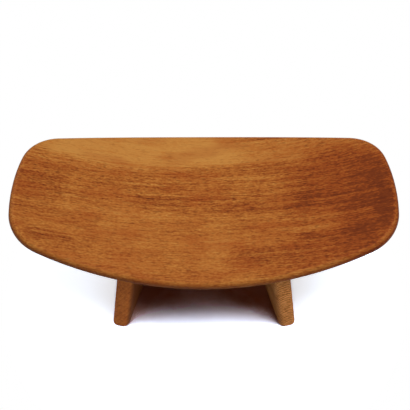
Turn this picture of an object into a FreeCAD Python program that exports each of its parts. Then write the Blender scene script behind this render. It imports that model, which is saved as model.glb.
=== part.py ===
import FreeCAD, Part
import math
import os
import Sketcher

# Kneeling meditation stool: a dished seat on two splayed board legs, held by blind dowels.
# X runs along the seat, Y to the back, Z up; the origin is on the floor under the middle of the seat.

# Driving dimensions, in millimetres and degrees
DIMENSIONS = {
    "seat_length": 455,         # end to end, at mid thickness
    "seat_depth": 227,          # front to back at the middle
    "seat_thickness": 15,
    "seat_height": 145,         # floor to the middle of the sitting surface
    "seat_tilt": 8,             # the front edge is the lower one
    "dish_radius": 573,         # sitting surface, a trough that runs from front to back
    "long_edge_radius": 605,    # bulge of the front and back edges, seen from above
    "end_edge_radius": 238,     # bulge of the two ends
    "corner_radius": 55,        # corners of the seat, seen from above
    "rim_radius": 5.5,          # rounding of the rim, above and below
    "leg_thickness": 22,
    "leg_depth": 160,           # front to back, along the board
    "leg_spacing": 188.5,       # between the middles of the two feet
    "leg_forward": 12,          # middle of the feet, in front of the middle of the seat
    "leg_splay": 10,            # feet further apart than the tops
    "leg_toe": 13,              # back ends closer together than the fronts
    "leg_edge_radius": 7.5,     # rounding of the upright edges
    "foot_radius": 2.5,         # rounding round the foot
    "dowel_diameter": 8,
    "dowel_pitch": 50,          # between neighbouring dowels of a leg
    "dowel_in_seat": 8,         # part of the dowel that stands in the seat
    "dowel_in_leg": 22,         # part of the dowel that stands in the leg
    "dowel_chamfer": 0.8,
    "dowel_clearance": 0.1,     # round the dowel in its hole
    "dowel_end_room": 1,        # beyond each end of the dowel, for glue
    "glue_line": 0.1,           # between the top of a leg and the underside of the seat
}

SIDES = {"left": -1, "right": 1}
DOWEL_ROWS = {"front": -1, "middle": 0, "rear": 1}
WALL_SHARE = 0.4                # a rounding takes less than half of the wall that it is on
END_SHARE = 0.8                 # two corners leave some of the end between them
FLOOR_TOLERANCE = 0.01          # an edge lower than this lies on the floor
PARALLEL_COSINE = 0.999         # two directions this close count as parallel

doc = FreeCAD.newDocument("meditation_stool")
sheet = doc.addObject("Spreadsheet::Sheet", "dims")
for row, (alias, value) in enumerate(DIMENSIONS.items(), start=1):
    sheet.set(f"A{row}", alias)
    sheet.set(f"B{row}", str(value))
    sheet.setAlias(f"B{row}", alias)
doc.recompute()

# Expressions that several pieces share
MIDDLE_RADIUS = "(dims.dish_radius + dims.seat_thickness / 2)"
UNDER_RADIUS = "(dims.dish_radius + dims.seat_thickness)"
END_ANGLE = f"asin(dims.seat_length / 2 / {MIDDLE_RADIUS})"
HALF_END = ("(dims.seat_depth / 2 - dims.long_edge_radius"
            " + sqrt(dims.long_edge_radius ^ 2 - (dims.seat_length / 2) ^ 2))")
SEAT_MIDDLE = "(dims.seat_height - dims.seat_thickness / 2 * cos(dims.seat_tilt))"


def place(x, y, z, turn="rotationz(0)"):
    return f"placement(vector({x}; {y}; {z}); {turn})"


def primitive(kind, name, **sizes):
    shape = doc.addObject(kind, name)
    for prop, expression in sizes.items():
        shape.setExpression(prop, expression)
    return shape


def joined(name, shapes):
    result = doc.addObject("Part::MultiFuse", name)
    result.Shapes = shapes
    return result


def cut(name, base, tool):
    result = doc.addObject("Part::Cut", name)
    result.Base = base
    result.Tool = tool
    return result


def body_from(name, base):
    # Body that starts from a finished shape
    doc.recompute()
    body = doc.addObject("PartDesign::Body", name)
    body.BaseFeature = base
    return body


def padded_body(name, draw, length):
    # Body with one sketch on its level plane, drawn by the function and padded upwards
    body = doc.addObject("PartDesign::Body", name)
    sketch = body.newObject("Sketcher::SketchObject", f"{name}_section")
    level = next(plane for plane in body.Origin.OriginFeatures if plane.Role == "XY_Plane")
    sketch.AttachmentSupport = [(level, "")]
    sketch.MapMode = "FlatFace"
    draw(sketch)
    pad = body.newObject("PartDesign::Pad", f"{name}_pad")
    pad.Profile = sketch
    pad.setExpression("Length", length)
    return body


def dress_edges(body, kind, prop, size, wanted):
    # Fillet or chamfer on the edges of the body that the test picks
    doc.recompute()
    base = body.Tip
    edges = [f"Edge{i}" for i, edge in enumerate(base.Shape.Edges, start=1) if wanted(edge)]
    feature = body.newObject(f"PartDesign::{kind}", f"{body.Name}_{kind.lower()}")
    feature.Base = (base, edges)
    feature.setExpression(prop, size)
    doc.recompute()


def middle_of(edge):
    return edge.valueAt((edge.FirstParameter + edge.LastParameter) / 2)


# Seat: built level, with its middle at the origin, and then tilted and raised into place
SEAT_PLACE = place(0, 0, SEAT_MIDDLE, "rotationx(dims.seat_tilt)")
DISH_PLACE = place(0, "-dims.seat_depth", MIDDLE_RADIUS, "rotationx(-90)")


def dish_cylinder(name, radius, placement=DISH_PLACE):
    # Lying cylinder on the axis of the dish, longer than the seat is deep
    return primitive("Part::Cylinder", name, Radius=radius, Height="2 * dims.seat_depth", Placement=placement)


def long_edge_cylinder(name, side):
    centre = f"{side} * (dims.seat_depth / 2 - dims.long_edge_radius)"
    return primitive("Part::Cylinder", name, Radius="dims.long_edge_radius", Height="dims.seat_length",
                     Placement=place(0, centre, "-dims.seat_length / 2"))


def end_waste(name, side):
    # Block beyond one end of the seat, less the cylinder that gives the end its bulge;
    # both stand square to the dished surface there
    end_x = f"{side} * dims.seat_length / 2"
    end_z = f"{MIDDLE_RADIUS} * (1 - cos({END_ANGLE}))"
    outward = "0" if side > 0 else "180"
    end_frame = place(end_x, 0, end_z, f"rotationy({-side} * {END_ANGLE}) * rotationz({outward})")
    to_block = place("-dims.end_edge_radius", "-dims.seat_depth", "-dims.seat_length / 2")
    to_bulge = place("-dims.end_edge_radius", 0, "-dims.seat_length / 2")
    block = primitive("Part::Box", f"{name}_block", Length="2 * dims.end_edge_radius",
                      Width="2 * dims.seat_depth", Height="dims.seat_length",
                      Placement=f"{end_frame} * {to_block}")
    bulge = primitive("Part::Cylinder", f"{name}_bulge", Radius="dims.end_edge_radius",
                      Height="dims.seat_length", Placement=f"{end_frame} * {to_bulge}")
    return cut(name, block, bulge)


def crosses_the_thickness(edge):
    point = middle_of(edge)
    middle_radius = sheet.dish_radius + sheet.seat_thickness / 2
    from_axis = math.hypot(point.x, point.z - middle_radius)
    return abs(from_axis - middle_radius) < sheet.seat_thickness / 4


def make_seat(holes):
    shell = cut("seat_shell", dish_cylinder("seat_underside", UNDER_RADIUS),
                dish_cylinder("seat_top", "dims.dish_radius"))
    band = doc.addObject("Part::MultiCommon", "seat_band")
    band.Shapes = [shell, long_edge_cylinder("front_edge", -1), long_edge_cylinder("back_edge", 1)]
    ends = joined("seat_ends", [end_waste(f"{side}_end", sign) for side, sign in SIDES.items()])
    blank = body_from("seat_blank", cut("seat_outline", band, ends))
    corner_radius = f"min(dims.corner_radius; {END_SHARE} * {HALF_END})"
    dress_edges(blank, "Fillet", "Radius", corner_radius, crosses_the_thickness)
    rim_radius = f"min(dims.rim_radius; {WALL_SHARE} * dims.seat_thickness)"
    dress_edges(blank, "Fillet", "Radius", rim_radius, lambda edge: not crosses_the_thickness(edge))
    blank.setExpression("Placement", SEAT_PLACE)
    return cut("seat", blank, joined("seat_dowel_holes", holes))


# Legs: upright boards, turned by the toe and the splay, cut off by the floor and by the underside of the seat
def leg_frame(sign):
    turn = f"rotationz({sign} * dims.leg_toe) * rotationy({-sign} * dims.leg_splay)"
    return place(f"{sign} * dims.leg_spacing / 2", "-dims.leg_forward", 0, turn)


def draw_leg_section(sketch):
    corners = [FreeCAD.Vector(x, y, 0) for x, y in ((-1, -1), (1, -1), (1, 1), (-1, 1))]
    for start, end in zip(corners, corners[1:] + corners[:1]):
        sketch.addGeometry(Part.LineSegment(start, end))
    count = len(corners)
    for line in range(count):
        sketch.addConstraint(Sketcher.Constraint("Coincident", line, 2, (line + 1) % count, 1))
        sketch.addConstraint(Sketcher.Constraint("Horizontal" if line % 2 == 0 else "Vertical", line))
    sketch.addConstraint(Sketcher.Constraint("Symmetric", 0, 1, 1, 2, -1, 1))
    for name, line in (("leg_thickness", 0), ("leg_depth", 1)):
        index = sketch.addConstraint(Sketcher.Constraint("Distance", line, 1.0))
        sketch.renameConstraint(index, name)
        sketch.setExpression(f"Constraints.{name}", f"dims.{name}")


def stands_upright(edge):
    return abs(edge.tangentAt(edge.FirstParameter).z) > PARALLEL_COSINE


def make_leg(side, sign, holes, floor):
    name = f"{side}_leg"
    blank = padded_body(f"{name}_blank", draw_leg_section, "2 * dims.seat_height")
    edge_radius = f"min(dims.leg_edge_radius; {WALL_SHARE} * dims.leg_thickness)"
    dress_edges(blank, "Fillet", "Radius", edge_radius, stands_upright)
    blank.setExpression("Placement", f"{leg_frame(sign)} * {place(0, 0, '-dims.leg_thickness')}")
    under_seat = dish_cylinder(f"{name}_under_seat", f"{UNDER_RADIUS} + dims.glue_line",
                               f"{SEAT_PLACE} * {DISH_PLACE}")
    trimmed = cut(f"{name}_trimmed", blank, joined(f"{name}_waste", [under_seat, floor, *holes]))
    leg = body_from(name, trimmed)
    foot_radius = f"min(dims.foot_radius; {WALL_SHARE} * {edge_radius})"
    dress_edges(leg, "Fillet", "Radius", foot_radius, lambda edge: middle_of(edge).z < FLOOR_TOLERANCE)
    return leg


# Dowels: along the middle of each leg board, square to its foot
def height_under_seat(row):
    # Length of a dowel's line from the floor up the leg to the underside of the seat.
    # Seen along the dish axis, the line starts at (across, below) from that axis and
    # climbs by (inward, upward) for each millimetre, until it meets the underside's circle.
    along = f"({row} * dims.dowel_pitch)"
    across = f"(dims.leg_spacing / 2 - {along} * sin(dims.leg_toe))"
    forward = f"(dims.leg_forward - {along} * cos(dims.leg_toe))"
    below = f"({forward} * sin(dims.seat_tilt) - {SEAT_MIDDLE} * cos(dims.seat_tilt) - {MIDDLE_RADIUS})"
    inward = "(-sin(dims.leg_splay) * cos(dims.leg_toe))"
    upward = ("(sin(dims.leg_splay) * sin(dims.leg_toe) * sin(dims.seat_tilt)"
              " + cos(dims.leg_splay) * cos(dims.seat_tilt))")
    square = f"({inward} ^ 2 + {upward} ^ 2)"
    slope = f"({across} * {inward} + {below} * {upward})"
    rest = f"({across} ^ 2 + {below} ^ 2 - {UNDER_RADIUS} ^ 2)"
    return f"((-{slope} - sqrt({slope} ^ 2 - {square} * {rest})) / {square})"


def dowel_place(sign, row, extra_depth="0"):
    bottom = f"{height_under_seat(row)} - dims.dowel_in_leg - {extra_depth}"
    return f"{leg_frame(sign)} * {place(0, f'{row} * dims.dowel_pitch', bottom)}"


def make_hole(name, sign, row):
    return primitive("Part::Cylinder", name, Radius="dims.dowel_diameter / 2 + dims.dowel_clearance",
                     Height="dims.dowel_in_seat + dims.dowel_in_leg + 2 * dims.dowel_end_room",
                     Placement=dowel_place(sign, row, "dims.dowel_end_room"))


def draw_dowel_section(sketch):
    sketch.addGeometry(Part.Circle(FreeCAD.Vector(0, 0, 0), FreeCAD.Vector(0, 0, 1), 1))
    sketch.addConstraint(Sketcher.Constraint("Coincident", 0, 3, -1, 1))
    index = sketch.addConstraint(Sketcher.Constraint("Diameter", 0, 2.0))
    sketch.renameConstraint(index, "dowel_diameter")
    sketch.setExpression("Constraints.dowel_diameter", "dims.dowel_diameter")


def make_dowel(name, sign, row):
    dowel = padded_body(name, draw_dowel_section, "dims.dowel_in_seat + dims.dowel_in_leg")
    dress_edges(dowel, "Chamfer", "Size", f"min(dims.dowel_chamfer; {WALL_SHARE} * dims.dowel_diameter)",
                lambda edge: isinstance(edge.Curve, Part.Circle))
    dowel.setExpression("Placement", dowel_place(sign, row))
    return dowel


floor = primitive("Part::Box", "below_floor", Length="2 * dims.seat_length", Width="2 * dims.seat_depth",
                  Height="dims.seat_height",
                  Placement=place("-dims.seat_length", "-dims.seat_depth", "-dims.seat_height"))
subparts = []
all_holes = []
for side, sign in SIDES.items():
    holes = []
    for position, row in DOWEL_ROWS.items():
        holes.append(make_hole(f"{side}_{position}_hole", sign, row))
        subparts.append(make_dowel(f"{side}_{position}_dowel", sign, row))
    subparts.append(make_leg(side, sign, holes, floor))
    all_holes += holes
subparts.append(make_seat(all_holes))
doc.recompute()

for item in doc.Objects:
    if "Invalid" in item.State or "Error" in item.State:
        raise RuntimeError(f"{item.Label} failed: {item.State}")
os.makedirs("parts", exist_ok=True)
for part in subparts:
    if part.Shape.isNull() or not part.Shape.isValid() or len(part.Shape.Solids) != 1:
        raise RuntimeError(f"{part.Label} is not one valid solid")
for part in subparts:
    part.Shape.exportStep(f"parts/{part.Label}.step")
    print(f"{part.Label}: {part.Shape.Volume / 1000:.1f} cubic centimetres")
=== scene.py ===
import math

import bpy
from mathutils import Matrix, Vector


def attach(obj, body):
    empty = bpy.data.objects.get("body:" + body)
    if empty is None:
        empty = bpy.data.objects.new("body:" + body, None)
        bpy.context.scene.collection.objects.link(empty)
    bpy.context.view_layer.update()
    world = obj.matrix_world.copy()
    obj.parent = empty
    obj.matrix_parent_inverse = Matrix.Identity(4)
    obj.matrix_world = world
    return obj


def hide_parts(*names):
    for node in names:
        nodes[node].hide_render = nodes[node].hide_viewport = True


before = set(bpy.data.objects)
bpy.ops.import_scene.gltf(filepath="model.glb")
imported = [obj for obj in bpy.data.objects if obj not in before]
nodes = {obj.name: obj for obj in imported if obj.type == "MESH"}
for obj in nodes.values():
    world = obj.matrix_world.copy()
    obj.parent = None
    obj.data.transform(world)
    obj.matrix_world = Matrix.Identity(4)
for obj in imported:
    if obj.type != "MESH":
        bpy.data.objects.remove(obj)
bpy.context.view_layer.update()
hairline = 1e-5  # heights closer than this count as level
smoothAngle = math.radians(40)  # edges sharper than this stay sharp
mmInMetre = 1000


def hexColor(text):
    # sRGB hex to the linear colour that a socket takes
    parts = [int(text[i:i + 2], 16) / 255 for i in (1, 3, 5)]
    return [c / 12.92 if c <= 0.04045 else ((c + 0.055) / 1.055) ** 2.4 for c in parts] + [1.0]


def addNode(tree, kind, inputs=None, stops=None, **settings):
    # one node with its settings; an input is a plain value or the socket that feeds it
    node = tree.nodes.new("ShaderNode" + kind)
    for name, value in settings.items():
        setattr(node, name, value)
    for name, value in (inputs or {}).items():
        if isinstance(value, bpy.types.NodeSocket):
            tree.links.new(value, node.inputs[name])
        else:
            node.inputs[name].default_value = value
    if stops:
        elements = node.color_ramp.elements
        while len(elements) < len(stops):
            elements.new(0.5)
        for element, (place, color) in zip(elements, stops):
            element.position = place
            element.color = color
    return node


def startMaterial(name):
    material = bpy.data.materials.new(name)
    material.use_nodes = True
    tree = material.node_tree
    tree.nodes.clear()
    return material, tree


def giveMaterial(piece, material):
    piece.data.materials.clear()
    piece.data.materials.append(material)


def selectOnly(piece):
    if bpy.context.object and bpy.context.object.mode == "EDIT":
        bpy.ops.object.mode_set(mode="OBJECT")
    bpy.ops.object.select_all(action="DESELECT")
    piece.select_set(True)
    bpy.context.view_layer.objects.active = piece


def selectEdges(piece, wanted):
    # back to edit mode with only the wanted edges selected
    bpy.ops.object.mode_set(mode="EDIT")
    bpy.ops.mesh.select_mode(type="EDGE")
    bpy.ops.mesh.select_all(action="DESELECT")
    bpy.ops.object.mode_set(mode="OBJECT")
    corners = piece.data.vertices
    for edge in piece.data.edges:
        ends = [corners[i].co for i in edge.vertices]
        edge.select = bool(wanted(ends[0], ends[1]))
    bpy.ops.object.mode_set(mode="EDIT")


def smoothFinish(piece):
    # round edges shade smooth, and the large faces keep their own normals
    selectOnly(piece)
    bpy.ops.object.shade_smooth_by_angle(angle=smoothAngle)
    weighted = piece.modifiers.new("faceNormals", "WEIGHTED_NORMAL")
    weighted.keep_sharp = True
    bpy.ops.object.modifier_apply(modifier=weighted.name)


# Seat board: cut flat to its outline, edges rounded over, then bent into the dish and set on its slope
seatBoard = {
    "length": 0.455, "depth": 0.227, "thickness": 0.015,
    "dishRadius": 0.573, "longEdgeRadius": 0.605, "endEdgeRadius": 0.238, "cornerRadius": 0.055,
    "longSteps": 50, "cornerSteps": 28, "endSteps": 18,  # of a quarter of the outline
    "rimRadius": 0.0055, "rimSteps": 8, "rimProfile": 0.4,
    "slope": math.radians(8), "height": 0.145, "stripWidth": 0.004, "weld": 0.0002,
}
bendRadius = seatBoard["dishRadius"] + seatBoard["thickness"] / 2
halfArc = bendRadius * math.asin(seatBoard["length"] / 2 / bendRadius)
seatMiddle = seatBoard["height"] - seatBoard["thickness"] / 2 * math.cos(seatBoard["slope"])


def seatArcs():
    # centre, turn and steps of the three arcs of a quarter, from the middle of the back to the right end
    halfEnd = seatBoard["length"] / 2
    drop = seatBoard["longEdgeRadius"] - math.sqrt(seatBoard["longEdgeRadius"] ** 2 - halfEnd ** 2)
    longRadius = (halfArc ** 2 + drop ** 2) / (2 * drop)  # the long edge's bulge on the flat board
    longCentre = Vector((0, seatBoard["depth"] / 2 - longRadius, 0))
    endCentre = Vector((halfArc - seatBoard["endEdgeRadius"], 0, 0))
    toLong = longRadius - seatBoard["cornerRadius"]
    toEnd = seatBoard["endEdgeRadius"] - seatBoard["cornerRadius"]
    apart = endCentre - longCentre
    along = (toLong ** 2 - toEnd ** 2 + apart.length ** 2) / (2 * apart.length)
    aside = math.sqrt(toLong ** 2 - along ** 2)
    forward = apart.normalized()
    cornerCentre = longCentre + forward * along + Vector((forward.y, -forward.x, 0)) * aside
    first = math.atan2(*(cornerCentre - longCentre).yx)
    second = math.atan2(*(cornerCentre - endCentre).yx)
    return [(longCentre, math.pi / 2 - first, seatBoard["longSteps"]),
            (cornerCentre, first - second, seatBoard["cornerSteps"]),
            (endCentre, second, seatBoard["endSteps"])]


def makeSeat():
    bpy.ops.object.select_all(action="DESELECT")
    bpy.ops.mesh.primitive_plane_add(size=seatBoard["thickness"], location=(0, 0, 0))
    seat = bpy.context.object
    seat.name = "dishedSeat"
    selectOnly(seat)
    bpy.ops.object.mode_set(mode="EDIT")
    bpy.ops.mesh.select_all(action="SELECT")
    bpy.ops.mesh.merge(type="CENTER")  # one point, drawn out into the outline
    bpy.ops.transform.translate(value=(0, seatBoard["depth"] / 2, 0))
    for centre, turn, steps in seatArcs():  # spin turns clockwise here
        bpy.ops.mesh.spin(steps=steps, angle=turn, center=centre, axis=(0, 0, 1))
    bpy.ops.object.mode_set(mode="OBJECT")
    mirror = seat.modifiers.new("otherQuarters", "MIRROR")
    mirror.use_axis = (True, True, False)
    mirror.use_clip = True
    bpy.ops.object.modifier_apply(modifier=mirror.name)
    bpy.ops.object.mode_set(mode="EDIT")
    bpy.ops.mesh.select_all(action="SELECT")
    bpy.ops.mesh.remove_doubles(threshold=seatBoard["weld"])
    bpy.ops.mesh.edge_face_add()
    bpy.ops.transform.translate(value=(0, 0, -seatBoard["thickness"] / 2))
    bpy.ops.mesh.extrude_region_move(TRANSFORM_OT_translate={"value": (0, 0, seatBoard["thickness"])})
    bpy.ops.mesh.select_all(action="SELECT")
    bpy.ops.mesh.normals_make_consistent(inside=False)
    bpy.ops.object.mode_set(mode="OBJECT")
    level = seatBoard["thickness"] / 2 - hairline
    selectEdges(seat, lambda a, b: abs(a.z) > level and abs(a.z - b.z) < hairline)
    bpy.ops.mesh.bevel(offset=seatBoard["rimRadius"], segments=seatBoard["rimSteps"],
                       profile=seatBoard["rimProfile"])
    strips = int(2 * halfArc / seatBoard["stripWidth"])
    for i in range(1, strips):  # cuts across the board, so that it can bend
        bpy.ops.mesh.select_all(action="SELECT")
        bpy.ops.mesh.bisect(plane_co=(-halfArc + 2 * halfArc * i / strips, 0, 0), plane_no=(1, 0, 0))
    bpy.ops.object.mode_set(mode="OBJECT")
    for vertex in seat.data.vertices:  # bend about the axis of the dish, above the seat
        x, y, z = vertex.co
        radius = bendRadius - z
        vertex.co = (radius * math.sin(x / bendRadius), y, bendRadius - radius * math.cos(x / bendRadius))
    seat.rotation_euler = (seatBoard["slope"], 0, 0)
    seat.location = (0, 0, seatMiddle)
    bpy.ops.object.transform_apply(location=True, rotation=True, scale=True)
    smoothFinish(seat)
    print("seat:", len(seat.data.polygons), "faces")
    return seat


# Board legs: planed board, upright edges rounded, trimmed by the floor and by the underside of the seat
boardLeg = {
    "thickness": 0.022, "depth": 0.160, "spacing": 0.1885, "forward": 0.012,
    "splay": math.radians(10), "toe": math.radians(13),
    "blankLength": 0.34, "blankMiddle": 0.13,  # the board before it is trimmed
    "edgeRadius": 0.0075, "edgeSteps": 8, "footRadius": 0.0025, "footSteps": 4,
    "glueLine": 0.0001, "hollowLength": 0.5, "hollowSides": 900, "weld": 0.00001,
}


def makeLeg(name, sign):
    bpy.ops.object.select_all(action="DESELECT")
    bpy.ops.mesh.primitive_cube_add(size=1, location=(0, 0, 0))
    leg = bpy.context.object
    leg.name = name
    leg.scale = (boardLeg["thickness"], boardLeg["depth"], boardLeg["blankLength"])
    leg.location = (0, 0, boardLeg["blankMiddle"])
    bpy.ops.object.transform_apply(location=True, rotation=True, scale=True)
    selectEdges(leg, lambda a, b: abs(a.z - b.z) > hairline)
    bpy.ops.mesh.bevel(offset=boardLeg["edgeRadius"], segments=boardLeg["edgeSteps"])
    bpy.ops.object.mode_set(mode="OBJECT")
    leg.rotation_euler = (0, -sign * boardLeg["splay"], sign * boardLeg["toe"])
    leg.location = (sign * boardLeg["spacing"] / 2, -boardLeg["forward"], 0)
    bpy.ops.object.transform_apply(location=True, rotation=True, scale=True)
    bpy.ops.object.mode_set(mode="EDIT")
    bpy.ops.mesh.select_all(action="SELECT")
    bpy.ops.mesh.bisect(plane_co=(0, 0, 0), plane_no=(0, 0, 1), clear_inner=True, use_fill=True)
    bpy.ops.object.mode_set(mode="OBJECT")
    # the hollow that the underside of the seat fills, with room for the glue
    underside = seatBoard["dishRadius"] + seatBoard["thickness"] + boardLeg["glueLine"]
    bpy.ops.mesh.primitive_cylinder_add(vertices=boardLeg["hollowSides"], radius=underside,
                                        depth=boardLeg["hollowLength"], rotation=(math.pi / 2, 0, 0))
    hollow = bpy.context.object
    bpy.ops.object.transform_apply(location=True, rotation=True, scale=True)
    hollow.location = (0, -bendRadius * math.sin(seatBoard["slope"]),
                       seatMiddle + bendRadius * math.cos(seatBoard["slope"]))
    hollow.rotation_euler = (seatBoard["slope"], 0, 0)
    bpy.ops.object.transform_apply(location=True, rotation=True, scale=True)
    selectOnly(leg)
    trim = leg.modifiers.new("undersideOfSeat", "BOOLEAN")
    trim.operation = "DIFFERENCE"
    trim.solver = "EXACT"
    trim.object = hollow
    bpy.ops.object.modifier_apply(modifier=trim.name)
    bpy.data.objects.remove(hollow)
    selectEdges(leg, lambda a, b: abs(a.z) < hairline and abs(b.z) < hairline)
    bpy.ops.mesh.bevel(offset=boardLeg["footRadius"], segments=boardLeg["footSteps"])
    bpy.ops.mesh.select_all(action="SELECT")
    bpy.ops.mesh.remove_doubles(threshold=boardLeg["weld"])
    bpy.ops.mesh.normals_make_consistent(inside=False)
    bpy.ops.object.mode_set(mode="OBJECT")
    smoothFinish(leg)
    print(name + ":", len(leg.data.polygons), "faces")
    return leg


# Seat wood: a straight-grained brown tropical hardwood, planed, sanded and oiled to a satin.
# To the eye: soft lengthwise bands, fine streaks and short dark pore dashes, golden along the back,
# darker and redder towards the right end; painted shade on the rim's side and a painted highlight along its
# upper edge.
seatWood = {
    "tones": [(-0.35, "#33130a"), (0.0, "#5e2c11"), (0.18, "#894217"), (0.42, "#9e5822"),
              (0.66, "#b26c2d"), (1.0, "#c0833e")],
    "middleTone": 0.57, "pore": "#561f08", "red": "#984316",
    "roughness": 0.58, "roughnessSwing": 0.12, "ior": 1.45, "specular": 0.09,
    "bumpStrength": 0.18, "bumpDepth": 0.0003,
    "layerTilt": math.radians(28), "swayScale": 9.0, "swayDetail": 2.0, "sway": 0.005,
    "noiseRoughness": 0.6,
    "noises": {  # cells along and across the grain in mm, shift, detail
        "bands": (420, 20, 3.0, 1.0), "streaks": (60, 2.4, 7.0, 3.0), "figure": (26, 42, 17.0, 2.0),
        "blush": (60, 22, 29.0, 1.0), "lines": (34, 1.6, 31.0, 1.0), "veins": (190, 4.6, 37.0, 2.0),
        "flecks": (3, 1.7, 41.0, 0.0), "fibre": (7, 1.4, 23.0, 1.0),
        "pores": (7, 1.3, 11.0, 0.0),  # real pores are about 0.3 mm wide, drawn coarser so that they show
    },
    "broadSwings": {"bands": 0.3, "streaks": 0.5, "figure": 0.3},
    "fineSwings": {"fibre": 0.8, "lines": 0.55, "veins": 0.95, "flecks": 0.55},
    "raggedAlong": 0.03, "raggedAcross": 0.012,  # how far the border of a patch wanders
    "patchCorner": 0.5, "patchEdge": {"From Min": 1.15, "From Max": 0.5},
    "patches": [  # middle and reach on the flat board in mm, lighter or darker
        ((-95, 92), (160, 45), 0.34), ((-150, 70), (60, 20), 0.12), ((65, 80), (100, 26), 0.17),
        ((110, 96), (60, 8), -0.08), ((-35, 18), (130, 40), -0.01), ((-15, -2), (85, 16), -0.12),
        ((-205, 3), (36, 42), -0.12), ((-82, -32), (52, 18), 0.12), ((13, -55), (20, 46), 0.10),
        ((-182, -64), (38, 7), -0.24), ((178, 12), (85, 50), -0.39), ((198, -32), (45, 26), -0.22),
        ((208, -52), (44, 34), -0.15), ((153, -72), (62, 25), -0.38), ((204, 12), (24, 40), -0.15),
        ((80, -6), (62, 14), -0.18), ((20, 60), (45, 12), -0.12), ((70, -78), (42, 16), -0.2),
        ((138, 46), (26, 14), 0.12), ((170, 62), (45, 12), -0.24), ((-140, 78), (60, 12), -0.09),
        # the last patch is painted shade along the outer edge of the right end
        ((223, -28), (17, 52), -0.24),
    ],
    # where the fine grain shows, by tone and by place
    "plainGold": {"From Min": 0.62, "From Max": 0.92, "To Min": 1.0, "To Max": 0.3},
    "backwards": {"From Min": -0.05, "From Max": 0.01},
    "rightwards": {"From Min": 0.03, "From Max": 0.11},
    "boldShare": {"To Min": 0.2, "To Max": 1.1},
    "coarseShare": {"To Min": 0.75, "To Max": 1.1},
    "poreDashes": {"From Min": 0.55, "From Max": 0.72, "To Max": 0.45},
    # the painted highlight along the upper edge, by its height above the middle of the board and by place
    "highlightHeight": 0.0052, "highlightEdge": {"From Min": 0.0022, "From Max": 0.001},
    "highlightRight": {"From Min": 0.07, "From Max": 0.15, "To Min": 0.12, "To Max": 0.4},
    "highlightFront": {"From Min": 0.0, "From Max": -0.05, "To Min": 0.25},
    # redder blushes and right end, painted shade on the rim's side
    "redBlush": {"From Min": 0.45, "From Max": 0.75, "To Max": 0.45},
    "redRight": {"From Min": 0.06, "From Max": 0.15, "To Max": 0.35},
    "rimShade": {"From Min": 0.0066, "From Max": 0.0032},
    "rimShadeLeft": {"From Min": 0.06, "From Max": -0.08, "To Min": 0.32, "To Max": 0.5},
}


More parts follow.
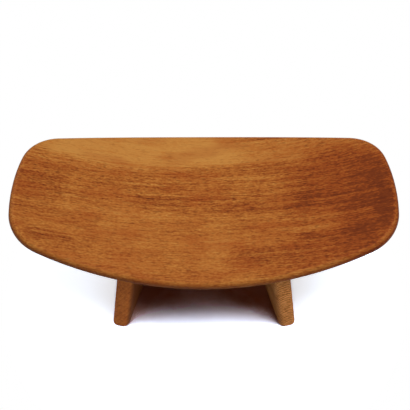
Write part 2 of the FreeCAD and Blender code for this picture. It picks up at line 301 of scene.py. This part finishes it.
def makeSeatWood():
    material, tree = startMaterial("oiledHardwoodSeat")
    look = seatWood
    place = addNode(tree, "TexCoord").outputs["Object"]
    # flat-board coordinates: undo the slope and the bend, so that the grain follows the dish
    level = addNode(tree, "Mapping", {"Vector": place, "Location": (0, 0, seatMiddle),
                                      "Rotation": (seatBoard["slope"], 0, 0)}, vector_type="TEXTURE")
    axes = addNode(tree, "SeparateXYZ", {0: level.outputs[0]}).outputs
    toAxis = addNode(tree, "Math", {0: bendRadius, 1: axes["Z"]}, operation="SUBTRACT").outputs[0]
    angle = addNode(tree, "Math", {0: axes["X"], 1: toAxis}, operation="ARCTAN2").outputs[0]
    along = addNode(tree, "Math", {0: angle, 1: bendRadius}, operation="MULTIPLY").outputs[0]
    spoke = addNode(tree, "CombineXYZ", {"X": axes["X"], "Y": toAxis})
    radius = addNode(tree, "VectorMath", {0: spoke.outputs[0]}, operation="LENGTH").outputs["Value"]
    under = addNode(tree, "Math", {0: radius, 1: bendRadius}, operation="SUBTRACT").outputs[0]
    board = addNode(tree, "CombineXYZ", {"X": along, "Y": axes["Y"], "Z": under}).outputs[0]
    # growth layers lean in the board, so that they also show as lines along its edge
    leaning = addNode(tree, "Mapping", {"Vector": board, "Rotation": (look["layerTilt"], 0, 0)}).outputs[0]
    drift = addNode(tree, "TexNoise", {"Vector": leaning, "Scale": look["swayScale"],
                                       "Detail": look["swayDetail"]}).outputs[0]
    wave = addNode(tree, "MapRange", {"Value": drift, "To Min": -look["sway"],
                                      "To Max": look["sway"]}).outputs[0]
    sway = addNode(tree, "CombineXYZ", {"Y": wave}).outputs[0]
    grain = addNode(tree, "VectorMath", {0: leaning, 1: sway}).outputs[0]
    noises = {}
    for name, (longMm, wideMm, shift, detail) in look["noises"].items():  # drawn out along the grain
        scale = (mmInMetre / longMm, mmInMetre / wideMm, mmInMetre / wideMm)
        moved = addNode(tree, "Mapping", {"Vector": grain, "Scale": scale, "Location": (shift, shift, 0)})
        noises[name] = addNode(tree, "TexNoise", {"Vector": moved.outputs[0], "Scale": 1.0, "Detail": detail,
                                                  "Roughness": look["noiseRoughness"]}).outputs[0]
    # broad tone: bands, streaks and cross figure, then the paler and darker places of this board
    tone = look["middleTone"]
    for name, strength in look["broadSwings"].items():
        swing = addNode(tree, "MapRange", {"Value": noises[name], "To Min": -strength / 2,
                                           "To Max": strength / 2}).outputs[0]
        tone = addNode(tree, "Math", {0: tone, 1: swing}, operation="ADD").outputs[0]
    raggedX = addNode(tree, "MapRange", {"Value": noises["figure"], "To Min": -look["raggedAlong"],
                                         "To Max": look["raggedAlong"]}).outputs[0]
    raggedY = addNode(tree, "MapRange", {"Value": noises["streaks"], "To Min": -look["raggedAcross"],
                                         "To Max": look["raggedAcross"]}).outputs[0]
    ragged = addNode(tree, "CombineXYZ", {"X": raggedX, "Y": raggedY}).outputs[0]
    spread = addNode(tree, "VectorMath", {0: board, 1: ragged}).outputs[0]
    for middle, reach, change in look["patches"]:
        spot = addNode(tree, "Mapping", {
            "Vector": spread, "Location": (middle[0] / mmInMetre, middle[1] / mmInMetre, 0),
            "Scale": (reach[0] / mmInMetre, reach[1] / mmInMetre, 1)}, vector_type="TEXTURE")
        sides = addNode(tree, "VectorMath", {0: spot.outputs[0]}, operation="ABSOLUTE")
        away = addNode(tree, "SeparateXYZ", {0: sides.outputs[0]}).outputs
        edge = addNode(tree, "Math", {0: away["X"], 1: away["Y"], 2: look["patchCorner"]},
                       operation="SMOOTH_MAX").outputs[0]
        mask = addNode(tree, "MapRange", {"Value": edge, **look["patchEdge"]},
                       interpolation_type="SMOOTHSTEP").outputs[0]
        tone = addNode(tree, "Math", {0: mask, 1: change, 2: tone}, operation="MULTIPLY_ADD").outputs[0]
    # fibres and pores show less on the golden wood and towards the front left
    plain = addNode(tree, "MapRange", {"Value": tone, **look["plainGold"]}).outputs[0]
    backwards = addNode(tree, "MapRange", {"Value": axes["Y"], **look["backwards"]}).outputs[0]
    rightwards = addNode(tree, "MapRange", {"Value": along, **look["rightwards"]}).outputs[0]
    rougher = addNode(tree, "Math", {0: backwards, 1: rightwards}, operation="MAXIMUM").outputs[0]
    bold = addNode(tree, "MapRange", {"Value": rougher, **look["boldShare"]}).outputs[0]
    bold = addNode(tree, "Math", {0: bold, 1: plain}, operation="MULTIPLY").outputs[0]
    coarse = addNode(tree, "MapRange", {"Value": rougher, **look["coarseShare"]}).outputs[0]
    coarse = addNode(tree, "Math", {0: coarse, 1: plain}, operation="MULTIPLY").outputs[0]
    shares = {"fibre": coarse, "lines": coarse, "veins": bold, "flecks": plain}
    for name, strength in look["fineSwings"].items():
        swing = addNode(tree, "MapRange", {"Value": noises[name], "To Min": -strength / 2,
                                           "To Max": strength / 2}).outputs[0]
        tone = addNode(tree, "Math", {0: swing, 1: shares[name], 2: tone},
                       operation="MULTIPLY_ADD").outputs[0]
    # a painted highlight along the upper edge, brightest at the front right corner where the light falls
    edgeHighlight = addNode(tree, "Math", {0: under, 1: look["highlightHeight"]}, operation="ADD").outputs[0]
    edgeHighlight = addNode(tree, "Math", {0: edgeHighlight}, operation="ABSOLUTE").outputs[0]
    edgeHighlight = addNode(tree, "MapRange", {"Value": edgeHighlight, **look["highlightEdge"]}).outputs[0]
    paler = addNode(tree, "MapRange", {"Value": along, **look["highlightRight"]}).outputs[0]
    forwards = addNode(tree, "MapRange", {"Value": axes["Y"], **look["highlightFront"]}).outputs[0]
    paler = addNode(tree, "Math", {0: paler, 1: forwards}, operation="MULTIPLY").outputs[0]
    tone = addNode(tree, "Math", {0: edgeHighlight, 1: paler, 2: tone}, operation="MULTIPLY_ADD").outputs[0]
    # a ramp starts at 0, so the tones are moved up to fit on it
    darkest = look["tones"][0][0]
    stops = [((t - darkest) / (1 - darkest), hexColor(c)) for t, c in look["tones"]]
    tone = addNode(tree, "MapRange", {"Value": tone, "From Min": darkest}).outputs[0]
    color = addNode(tree, "ValToRGB", {0: tone}, stops=stops).outputs[0]
    redder = addNode(tree, "MapRange", {"Value": noises["blush"], **look["redBlush"]}).outputs[0]
    redEnd = addNode(tree, "MapRange", {"Value": along, **look["redRight"]}).outputs[0]
    redder = addNode(tree, "Math", {0: redder, 1: redEnd}, operation="MAXIMUM").outputs[0]
    pores = addNode(tree, "MapRange", {"Value": noises["pores"], **look["poreDashes"]},
                    interpolation_type="SMOOTHSTEP").outputs[0]
    pores = addNode(tree, "Math", {0: pores, 1: coarse}, operation="MULTIPLY").outputs[0]
    # painted shade on the side of the rounded edge, deepest on the left, away from the light
    rim = addNode(tree, "Math", {0: under}, operation="ABSOLUTE").outputs[0]
    rim = addNode(tree, "MapRange", {"Value": rim, **look["rimShade"]}).outputs[0]
    shadedLeft = addNode(tree, "MapRange", {"Value": along, **look["rimShadeLeft"]}).outputs[0]
    rim = addNode(tree, "Math", {0: rim, 1: shadedLeft}, operation="MULTIPLY").outputs[0]
    for share, name in ((redder, "red"), (pores, "pore"), (rim, "pore")):
        color = addNode(tree, "Mix", {"Factor": share, 6: color, 7: hexColor(look[name])},
                        data_type="RGBA").outputs[2]
    rough = addNode(tree, "MapRange", {"Value": noises["streaks"],
                                       "To Min": look["roughness"] - look["roughnessSwing"],
                                       "To Max": look["roughness"] + look["roughnessSwing"]}).outputs[0]
    relief = addNode(tree, "Math", {0: noises["fibre"], 1: pores}, operation="SUBTRACT").outputs[0]
    bump = addNode(tree, "Bump", {"Height": relief, "Strength": look["bumpStrength"],
                                  "Distance": look["bumpDepth"]}).outputs[0]
    shader = addNode(tree, "BsdfPrincipled", {"Base Color": color, "Roughness": rough, "Normal": bump,
                                              "IOR": look["ior"], "Specular IOR Level": look["specular"]})
    addNode(tree, "OutputMaterial", {"Surface": shader.outputs[0]})
    return material


# Leg wood: the same hardwood, planed and oiled, with the grain from front to back.
# To the eye: fine growth rings slant across the front edge, which is end grain, soft lines with short
# pores run along the sides, and painted shade darkens the inner sides.
legWood = {
    "left": {
        "tones": [(0.05, "#84431b"), (0.45, "#c06a2a"), (0.85, "#d27d37")], "insideShade": 0.62,
        "ringMm": 5, "ringTilt": math.radians(66), "ringShade": 0.1, "shift": 0.4,
    },
    # the right leg's tones are lighter than the left's: partly its wood, partly painted light from the right
    "right": {
        "tones": [(0.05, "#8f5020"), (0.45, "#e2934c"), (0.85, "#f0b06a")], "insideShade": 0.22,
        "ringMm": 2.9, "ringTilt": math.radians(-48), "ringShade": 0.42, "shift": 1.7,
    },
    # inside is the colour of the painted shade on the inner sides; insideShade is how much of it each leg
    # takes
    "inside": "#4a2410", "middleTone": 0.5,
    "roughness": 0.62, "roughnessSwing": 0.12, "ior": 1.45, "specular": 0.1,
    "bumpStrength": 0.2, "bumpDepth": 0.0003,
    "noises": {  # cells along and across the grain in mm, detail
        "drift": (60, 16, 1.0), "lines": (150, 3.2, 2.0), "fibre": (25, 1.1, 2.0),
        "pores": (7, 1.0, 0.0),  # drawn coarser than real ones, as on the seat
    },
    "swings": {"lines": 0.9, "fibre": 0.5, "drift": 0.4},
    "ringWander": 0.0025, "ringEdge": {"From Min": 0.3, "From Max": 1.0, "To Min": 0.06},
    "endGrain": {"From Min": 0.15, "From Max": 0.6, "To Min": 0.15, "To Max": 1.0},
    "poreDots": {"From Min": 0.58, "From Max": 0.74, "To Max": 0.45},
    "endPores": {"To Min": 1.0, "To Max": 0.3},
    "insideFace": {"From Min": 0.5, "From Max": 0.95},
}


def makeLegWood(side, sign):
    material, tree = startMaterial(side + "LegHardwood")
    look = {**legWood, **legWood[side]}
    source = addNode(tree, "TexCoord").outputs
    foot = (sign * boardLeg["spacing"] / 2, -boardLeg["forward"], 0)
    turn = (0, -sign * boardLeg["splay"], sign * boardLeg["toe"])
    upright = addNode(tree, "Mapping", {"Vector": source["Object"], "Location": foot, "Rotation": turn},
                      vector_type="TEXTURE").outputs[0]
    ringed = addNode(tree, "Mapping", {"Vector": upright, "Rotation": (0, look["ringTilt"], 0),
                                       "Location": (0, 0, look["shift"])}).outputs[0]
    noises = {}
    for name, (longMm, wideMm, detail) in look["noises"].items():  # drawn out from front to back
        scale = (mmInMetre / wideMm, mmInMetre / longMm, mmInMetre / wideMm)
        moved = addNode(tree, "Mapping", {"Vector": ringed, "Scale": scale}).outputs[0]
        noises[name] = addNode(tree, "TexNoise", {"Vector": moved, "Scale": 1.0,
                                                  "Detail": detail}).outputs[0]
    # growth rings, uneven in width, clear only on the end grain at the front and back
    grainWay = (-sign * math.sin(boardLeg["toe"]), math.cos(boardLeg["toe"]), 0)
    facing = addNode(tree, "VectorMath", {0: source["Normal"], 1: grainWay},
                     operation="DOT_PRODUCT").outputs["Value"]
    facing = addNode(tree, "Math", {0: facing}, operation="ABSOLUTE").outputs[0]
    ends = addNode(tree, "MapRange", {"Value": facing, **look["endGrain"]}).outputs[0]
    wave = addNode(tree, "MapRange", {"Value": noises["drift"], "To Min": -look["ringWander"],
                                      "To Max": look["ringWander"]}).outputs[0]
    layers = addNode(tree, "SeparateXYZ", {0: ringed}).outputs["Z"]
    layers = addNode(tree, "Math", {0: layers, 1: wave}, operation="ADD").outputs[0]
    turns = addNode(tree, "Math", {0: layers, 1: mmInMetre / look["ringMm"]},
                    operation="MULTIPLY").outputs[0]
    rings = addNode(tree, "Math", {0: turns}, operation="FRACT").outputs[0]
    tone = addNode(tree, "MapRange", {"Value": rings, **look["ringEdge"], "To Max": -look["ringShade"]},
                   interpolation_type="SMOOTHSTEP").outputs[0]
    tone = addNode(tree, "Math", {0: tone, 1: ends, 2: look["middleTone"]},
                   operation="MULTIPLY_ADD").outputs[0]
    for name, strength in look["swings"].items():
        swing = addNode(tree, "MapRange", {"Value": noises[name], "To Min": -strength / 2,
                                           "To Max": strength / 2}).outputs[0]
        tone = addNode(tree, "Math", {0: tone, 1: swing}, operation="ADD").outputs[0]
    stops = [(t, hexColor(c)) for t, c in look["tones"]]
    color = addNode(tree, "ValToRGB", {0: tone}, stops=stops).outputs[0]
    # pores, which show less on the end grain
    pores = addNode(tree, "MapRange", {"Value": noises["pores"], **look["poreDots"]},
                    interpolation_type="SMOOTHSTEP").outputs[0]
    fainter = addNode(tree, "MapRange", {"Value": ends, **look["endPores"]}).outputs[0]
    pores = addNode(tree, "Math", {0: pores, 1: fainter}, operation="MULTIPLY").outputs[0]
    # painted shade on the inner side under the seat, deeper on the left leg
    insideWay = (-sign * math.cos(boardLeg["toe"]), -math.sin(boardLeg["toe"]), 0)
    inside = addNode(tree, "VectorMath", {0: source["Normal"], 1: insideWay},
                     operation="DOT_PRODUCT").outputs["Value"]
    inside = addNode(tree, "MapRange", {"Value": inside, **look["insideFace"],
                                        "To Max": look["insideShade"]}).outputs[0]
    for share, shade in ((pores, look["tones"][0][1]), (inside, look["inside"])):
        color = addNode(tree, "Mix", {"Factor": share, 6: color, 7: hexColor(shade)},
                        data_type="RGBA").outputs[2]
    rough = addNode(tree, "MapRange", {"Value": noises["fibre"],
                                       "To Min": look["roughness"] - look["roughnessSwing"],
                                       "To Max": look["roughness"] + look["roughnessSwing"]}).outputs[0]
    relief = addNode(tree, "Math", {0: noises["fibre"], 1: pores}, operation="SUBTRACT").outputs[0]
    bump = addNode(tree, "Bump", {"Height": relief, "Strength": look["bumpStrength"],
                                  "Distance": look["bumpDepth"]}).outputs[0]
    shader = addNode(tree, "BsdfPrincipled", {"Base Color": color, "Roughness": rough, "Normal": bump,
                                              "IOR": look["ior"], "Specular IOR Level": look["specular"]})
    addNode(tree, "OutputMaterial", {"Surface": shader.outputs[0]})
    return material


# Dowels: turned bare beech pins, out of sight in their holes; pale with fine flecks along the pin
dowelWood = {
    "tones": [(0.45, "#c9a273"), (0.7, "#a67c4c")], "fleckMm": (4, 0.7), "fleckDetail": 2.0,  # along, across
    "roughness": 0.62, "bumpStrength": 0.15, "bumpDepth": 0.0002,
}


def makeDowelWood():
    material, tree = startMaterial("bareBeechDowel")
    look = dowelWood
    longMm, wideMm = look["fleckMm"]
    place = addNode(tree, "TexCoord").outputs["Object"]
    scale = (mmInMetre / wideMm, mmInMetre / wideMm, mmInMetre / longMm)
    drawn = addNode(tree, "Mapping", {"Vector": place, "Scale": scale}).outputs[0]
    flecks = addNode(tree, "TexNoise", {"Vector": drawn, "Scale": 1.0,
                                        "Detail": look["fleckDetail"]}).outputs[0]
    stops = [(t, hexColor(c)) for t, c in look["tones"]]
    color = addNode(tree, "ValToRGB", {0: flecks}, stops=stops).outputs[0]
    bump = addNode(tree, "Bump", {"Height": flecks, "Strength": look["bumpStrength"],
                                  "Distance": look["bumpDepth"]}).outputs[0]
    shader = addNode(tree, "BsdfPrincipled", {"Base Color": color, "Roughness": look["roughness"],
                                              "Normal": bump})
    addNode(tree, "OutputMaterial", {"Surface": shader.outputs[0]})
    return material


seat = makeSeat()
giveMaterial(seat, makeSeatWood())
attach(seat, "root")
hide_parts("seat")
for side, sign in (("left", -1), ("right", 1)):
    leg = makeLeg(side + "BoardLeg", sign)
    giveMaterial(leg, makeLegWood(side, sign))
    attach(leg, "root")
    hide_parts(side + "_leg")
beech = makeDowelWood()
for name, node in nodes.items():
    if name.endswith("_dowel"):
        giveMaterial(node, beech)
print("pieces dressed")

# Studio: white floor, soft boxes high at the front, at both sides and low at the front, a little fill
studio = {
    "floorSize": 8.0, "floor": "#98989c", "floorMirrored": "#f0f0f0", "white": "#ffffff",
    "floorSeen": (4.1, 4.9, 6.2, 1),  # over 1, so that it shows white, with cool half shade
    "shadeUnder": (0.55, 0.26, 0.19, 1),  # painted shade close under the stool, warm like light bounced off the wood
    "shadeReach": 0.2, "shadeSamples": 16, "clearFloor": {"From Min": 0.33, "From Max": 0.63},
    "farFloor": {"From Min": 0.15, "From Max": 0.28},  # metres from the middle
    "besideLegs": {"From Min": 0.112, "From Max": 0.128, "To Max": 0.75},  # metres to either side
    "paintedShadowFade": {"From Min": 0.112, "From Max": 0.26, "To Min": 0.86, "To Max": 1.0},
    "fill": "#dcdcf0", "fillStrength": 0.012,
    "boxes": {  # where it stands, width, height, power
        "frontBox": ((0.38, -1.05, 3.9), 1.15, 1.15, 72),
        "rightBox": ((1.85, -0.85, 3.0), 1.4, 1.4, 44),
        "leftBox": ((-2.0, 1.0, 2.6), 2.0, 1.8, 37),
        "lowBox": ((0.1, -2.9, 0.1), 1.3, 0.15, 12),
    },
    "aim": (0, 0, 0.1),
}


def makeFloor():
    bpy.ops.object.select_all(action="DESELECT")
    bpy.ops.mesh.primitive_plane_add(size=studio["floorSize"], location=(0, 0, 0))
    floor = bpy.context.object
    floor.name = "paleFloor"
    material, tree = startMaterial("paleFloorPaint")
    # bounced light stays low, mirrored rays meet white and the camera meets an overexposed white
    ray = addNode(tree, "LightPath").outputs
    mirrored = addNode(tree, "Math", {0: ray["Is Glossy Ray"], 1: ray["Is Transmission Ray"]},
                       operation="MAXIMUM").outputs[0]
    paint = addNode(tree, "Mix", {"Factor": mirrored, 6: hexColor(studio["floor"]),
                                  7: hexColor(studio["floorMirrored"])}, data_type="RGBA").outputs[2]
    # deeper and warmer shade close under the stool
    above = addNode(tree, "AmbientOcclusion", {"Distance": studio["shadeReach"]},
                    samples=studio["shadeSamples"]).outputs["AO"]
    clear = addNode(tree, "MapRange", {"Value": above, **studio["clearFloor"]}).outputs[0]
    bright = addNode(tree, "Mix", {"Factor": clear, 6: studio["shadeUnder"], 7: studio["floorSeen"]},
                     data_type="RGBA").outputs[2]
    paint = addNode(tree, "Mix", {"Factor": ray["Is Camera Ray"], 6: paint, 7: bright},
                    data_type="RGBA").outputs[2]
    lit = addNode(tree, "BsdfDiffuse", {"Color": paint})
    # far off, the floor runs into the white of the backdrop; beside the legs white is painted over the
    # floor's shadow, with a painted faint shadow that fades out away from the middle
    place = addNode(tree, "TexCoord").outputs["Object"]
    away = addNode(tree, "VectorMath", {0: place}, operation="LENGTH").outputs["Value"]
    far = addNode(tree, "MapRange", {"Value": away, **studio["farFloor"]}).outputs[0]
    aside = addNode(tree, "SeparateXYZ", {0: place}).outputs["X"]
    aside = addNode(tree, "Math", {0: aside}, operation="ABSOLUTE").outputs[0]
    outside = addNode(tree, "MapRange", {"Value": aside, **studio["besideLegs"]}).outputs[0]
    far = addNode(tree, "Math", {0: far, 1: outside}, operation="MAXIMUM").outputs[0]
    far = addNode(tree, "Math", {0: far, 1: ray["Is Camera Ray"]}, operation="MULTIPLY").outputs[0]
    paintedShadowFade = addNode(tree, "MapRange", {"Value": away, **studio["paintedShadowFade"]}).outputs[0]
    white = addNode(tree, "Emission", {"Color": hexColor(studio["white"]), "Strength": paintedShadowFade})
    shader = addNode(tree, "MixShader", {0: far, 1: lit.outputs[0], 2: white.outputs[0]})
    addNode(tree, "OutputMaterial", {"Surface": shader.outputs[0]})
    giveMaterial(floor, material)
    print("floor laid")


def makeLights():
    # a white backdrop for the camera and mirrored rays, and a weak fill for all others
    world = bpy.data.worlds.new("studioFill")
    world.use_nodes = True
    bpy.context.scene.world = world
    tree = world.node_tree
    tree.nodes.clear()
    ray = addNode(tree, "LightPath").outputs
    seen = addNode(tree, "Math", {0: ray["Is Camera Ray"], 1: ray["Is Transmission Ray"]},
                   operation="MAXIMUM").outputs[0]
    seen = addNode(tree, "Math", {0: seen, 1: ray["Is Glossy Ray"]}, operation="MAXIMUM").outputs[0]
    fill = addNode(tree, "Background", {"Color": hexColor(studio["fill"]),
                                        "Strength": studio["fillStrength"]})
    backdrop = addNode(tree, "Background", {"Color": hexColor(studio["white"]), "Strength": 1.0})
    both = addNode(tree, "MixShader", {0: seen, 1: fill.outputs[0], 2: backdrop.outputs[0]})
    addNode(tree, "OutputWorld", {"Surface": both.outputs[0]})
    for name, (stand, width, height, power) in studio["boxes"].items():
        bpy.ops.object.light_add(type="AREA", location=stand)
        box = bpy.context.object
        box.name = name
        box.data.shape = "RECTANGLE"
        box.data.size, box.data.size_y = width, height
        box.data.energy = power
        box.rotation_euler = (Vector(studio["aim"]) - Vector(stand)).to_track_quat("-Z", "Y").to_euler()
    print("studio lit")


makeFloor()
makeLights()

# Camera: looks down at 47 degrees from the front, a very little to the right
photoView = {
    "aim": (0, -0.00104, 0.145), "distance": 0.68, "down": math.radians(47), "around": math.radians(0.2),
    "roll": math.radians(-0.24), "sensorMm": 36,
    "pictureWidth": 410, "focalLength": 544.6, "shift": (1.3, -2.0),  # in pixels
}


def makeCamera():
    down, around = photoView["down"], photoView["around"]
    back = Vector((math.cos(down) * math.sin(around), -math.cos(down) * math.cos(around), math.sin(down)))
    bpy.ops.object.camera_add(location=Vector(photoView["aim"]) + back * photoView["distance"])
    camera = bpy.context.object
    camera.rotation_euler = (-back).to_track_quat("-Z", "Y").to_euler()
    camera.rotation_euler.rotate_axis("Z", photoView["roll"])
    camera.data.sensor_width = photoView["sensorMm"]
    camera.data.lens = photoView["sensorMm"] * photoView["focalLength"] / photoView["pictureWidth"]
    camera.data.shift_x = photoView["shift"][0] / photoView["pictureWidth"]
    camera.data.shift_y = photoView["shift"][1] / photoView["pictureWidth"]
    camera.data.dof.use_dof = False
    bpy.context.scene.camera = camera
    print("camera set")


makeCamera()
bpy.context.scene.view_settings.view_transform = "Standard"
